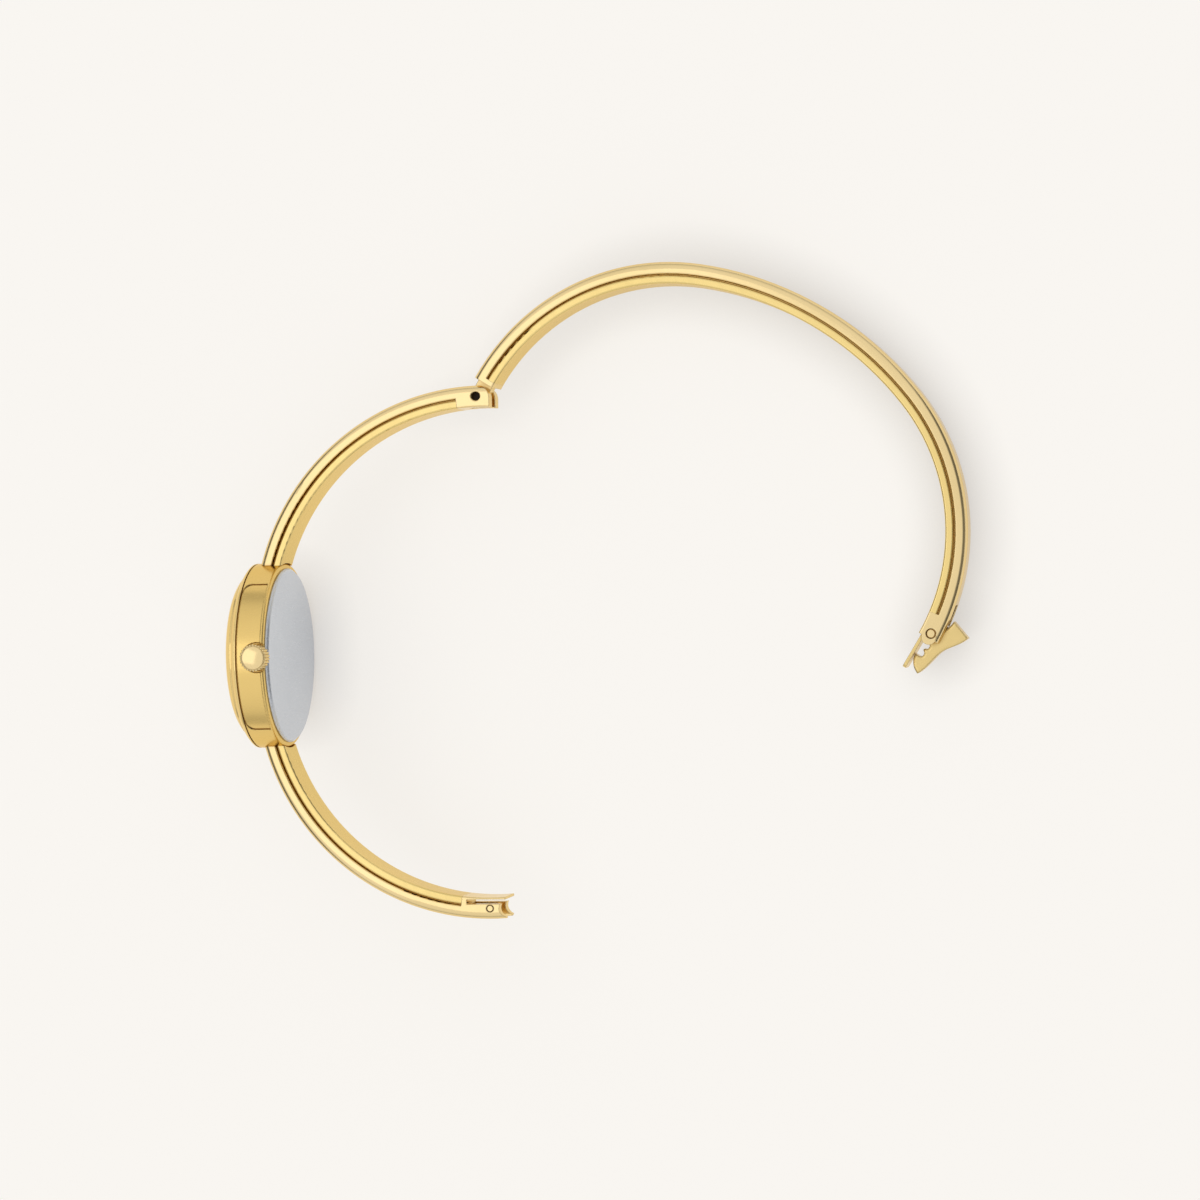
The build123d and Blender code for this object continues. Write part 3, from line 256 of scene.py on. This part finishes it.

# The case, the clasp and the crown differ from the arms in tone, gloss and softness of edge.
# Each of these gets painted shade in its crevices
node_looks = {
    "case_middle": ("gold_case", dict(
        tones=((0.78, 0.545, 0.185), (0.84, 0.6, 0.215)), roughness=(0.2, 0.28),
        stretch=(1, 14, 14), scale=500.0, strength=0.15, painted_shade=GOLD_PAINTED_SHADE, reach=0.9, edge=0.2)),
    "bezel": ("gold_bezel", dict(
        tones=((0.8, 0.595, 0.24), (0.86, 0.65, 0.285)), roughness=(0.08, 0.13),
        scale=1400.0, painted_shade=GOLD_PAINTED_SHADE, reach=1.2, edge=0.08)),
    "clasp_lever": ("gold_lever", dict(
        tones=CLASP_GOLD, roughness=(0.14, 0.22), scale=1100.0, depth=0.002, strength=0.15,
        painted_shade=GOLD_PAINTED_SHADE, reach=0.8, edge=0.5)),
    "clasp_tongue": ("gold_tongue", dict(
        tones=CLASP_GOLD, roughness=(0.14, 0.22), scale=1100.0,
        painted_shade=GOLD_PAINTED_SHADE, reach=0.6, edge=0.15)),
    "crown": ("gold_crown", dict(
        tones=GOLD, roughness=(0.13, 0.2), scale=1800.0, painted_shade=GOLD_PAINTED_SHADE, reach=0.5, edge=0.25)),
}
variants = {node: metal(name, **look) for node, (name, look) in node_looks.items()}

slot_of = {entry["node"]: entry["material_slot"] for entry in record["subparts"]}
for node, piece in frame["nodes"].items():
    finish = variants.get(node, materials[slot_of[node]])
    for slot in piece.material_slots:
        slot.link = "OBJECT"
        slot.material = finish
    if not piece.material_slots:
        piece.data.materials.append(finish)


# Floor

PAPER = colour(1.0, 0.972, 0.93)
PAPER_ROUGHNESS = 0.9
PAPER_SHEEN = 0.1
PAPER_GLOW_SHARE = 0.7
# Colour and reach of the painted contact shadow in the paper's glow
CONTACT_SHADE = colour(0.58, 0.565, 0.56)
CONTACT_REACH = 6.0
CONTACT_SAMPLES = 6
FLOOR_SIZE = 8.0


def plain_floor(size):
    """Paper, as wide as a size in metres, that partly glows, with a painted shadow darkening its glow near
    the object, and keeps the object's cast shadow.
    """
    half = size / 2
    corners = [(-half, -half, 0), (half, -half, 0), (half, half, 0), (-half, half, 0)]
    mesh = bpy.data.meshes.new("floor")
    mesh.from_pydata(corners, [], [(0, 1, 2, 3)])
    floor = bpy.data.objects.new("floor", mesh)
    bpy.context.scene.collection.objects.link(floor)
    material, tree, shader, _ = new_material("floor_paper")
    shader.inputs["Base Color"].default_value = PAPER
    shader.inputs["Roughness"].default_value = PAPER_ROUGHNESS
    shader.inputs["Specular IOR Level"].default_value = PAPER_SHEEN
    # Painted shadow: the paper's glow darkens toward CONTACT_SHADE near the object, by ambient occlusion
    near_by = add_node(tree, "ShaderNodeAmbientOcclusion", {"Distance": CONTACT_REACH * MM},
                       samples=CONTACT_SAMPLES)
    painted_contact_shadow = add_node(tree, "ShaderNodeMix", {"A": CONTACT_SHADE, "B": PAPER},
                       {"Factor": near_by.outputs["AO"]}, data_type="RGBA")
    paper = add_node(tree, "ShaderNodeEmission", links={"Color": painted_contact_shadow.outputs["Result"]})
    rays = add_node(tree, "ShaderNodeLightPath")
    seen = add_node(tree, "ShaderNodeMath", operation="ADD", links={
        0: rays.outputs["Is Camera Ray"],
        1: rays.outputs["Is Glossy Ray"],
    })
    seen_or_through = add_node(tree, "ShaderNodeMath", operation="ADD", use_clamp=True, links={
        0: seen.outputs["Value"],
        1: rays.outputs["Is Transmission Ray"],
    })
    share = add_node(tree, "ShaderNodeMath", {1: PAPER_GLOW_SHARE},
                     {0: seen_or_through.outputs["Value"]}, operation="MULTIPLY")
    blend = add_node(tree, "ShaderNodeMixShader", links={
        "Fac": share.outputs["Value"],
        1: shader.outputs["BSDF"],
        2: paper.outputs["Emission"],
    })
    tree.links.new(blend.outputs["Shader"], tree.nodes["Material Output"].inputs["Surface"])
    mesh.materials.append(material)


plain_floor(FLOOR_SIZE)


# Lights: one soft key from above left, in a tent of light

def softbox(name, place, target, width, height, power):
    """A rectangular area light that faces a target, in metres and watts."""
    light = bpy.data.lights.new(name, "AREA")
    light.shape = "RECTANGLE"
    light.size = width
    light.size_y = height
    light.energy = power
    lamp = bpy.data.objects.new(name, light)
    bpy.context.scene.collection.objects.link(lamp)
    lamp.location = place
    lamp.rotation_euler = (Vector(target) - Vector(place)).to_track_quat("-Z", "Y").to_euler()


softbox("key_softbox", place=(-0.8, 0.2, 1.7), target=(0, 0, 0), width=1.15, height=1.5, power=2.2)

# Grey levels of the tent: over a direction's height, and over its place from left, 0, to right, 1,
# where a dark card stands on either side. The two are multiplied.
TENT_STRENGTH = 1.06
TENT_BY_HEIGHT = [(0.0, 0.5), (0.14, 0.5), (0.34, 0.78), (0.75, 0.9), (1.0, 0.9)]
CARDS_BY_SIDE = [
    (0.0, 0.6), (0.03, 0.26), (0.11, 0.24), (0.17, 0.95), (0.24, 1.0),
    (0.79, 1.0), (0.84, 0.6), (0.89, 0.22), (0.97, 0.22), (1.0, 0.6),
]


def grey_ramp(tree, source, stops):
    """A ramp of grey levels."""
    return add_ramp(tree, source, [(place, colour(level, level, level)) for place, level in stops])


def light_tent():
    """The world as a bright tent that is dimmer toward the table."""
    world = bpy.data.worlds.new("studio")
    bpy.context.scene.world = world
    world.use_nodes = True
    sky = world.node_tree
    directions = add_node(sky, "ShaderNodeTexCoord")
    split = add_node(sky, "ShaderNodeSeparateXYZ",
                     links={"Vector": directions.outputs["Generated"]})
    sideways = add_node(sky, "ShaderNodeMapRange", {"From Min": -1.0},
                        {"Value": split.outputs["X"]})
    shaded = add_node(sky, "ShaderNodeMix", {"Factor": 1.0}, {
        "A": grey_ramp(sky, split.outputs["Z"], TENT_BY_HEIGHT),
        "B": grey_ramp(sky, sideways.outputs["Result"], CARDS_BY_SIDE),
    }, data_type="RGBA", blend_type="MULTIPLY")
    background = sky.nodes["Background"]
    sky.links.new(shaded.outputs["Result"], background.inputs["Color"])
    background.inputs["Strength"].default_value = TENT_STRENGTH


light_tent()

# The camera was fitted to the case's ellipses and the bangle's arcs. Its lengths are in
# millimetres, and its target is a place in the bangle's frame.
TILT_ACROSS = radians(10.71)
TILT_NOON = radians(0.36)
ROLL = radians(-1.18)
CAMERA_DISTANCE = 431.5
TARGET = (13.94, 5.87, 0.0)
LENS = 110.2
SENSOR_WIDTH = 36.0
CLIP_START = 10.0


def add_camera():
    """The photograph's camera, which looks down the crown's axis at a slight tilt."""
    toward = (
        across * sin(TILT_ACROSS) * cos(TILT_NOON)
        + noon_way * sin(TILT_NOON)
        + crown_way * cos(TILT_ACROSS) * cos(TILT_NOON)
    ).normalized()
    right = noon_way.cross(toward).normalized()
    up = toward.cross(right)
    rolled_right = right * cos(ROLL) + up * sin(ROLL)
    rolled_up = up * cos(ROLL) - right * sin(ROLL)
    data = bpy.data.cameras.new("camera")
    data.lens = LENS
    data.sensor_width = SENSOR_WIDTH
    data.clip_start = CLIP_START * MM
    camera = bpy.data.objects.new("camera", data)
    bpy.context.scene.collection.objects.link(camera)
    place = from_bangle(*TARGET) + toward * CAMERA_DISTANCE * MM
    camera.matrix_world = Matrix((
        (rolled_right.x, rolled_up.x, toward.x, place.x),
        (rolled_right.y, rolled_up.y, toward.y, place.y),
        (rolled_right.z, rolled_up.z, toward.z, place.z),
        (0, 0, 0, 1),
    ))
    bpy.context.scene.camera = camera


add_camera()
bpy.context.scene.view_settings.view_transform = "Standard"
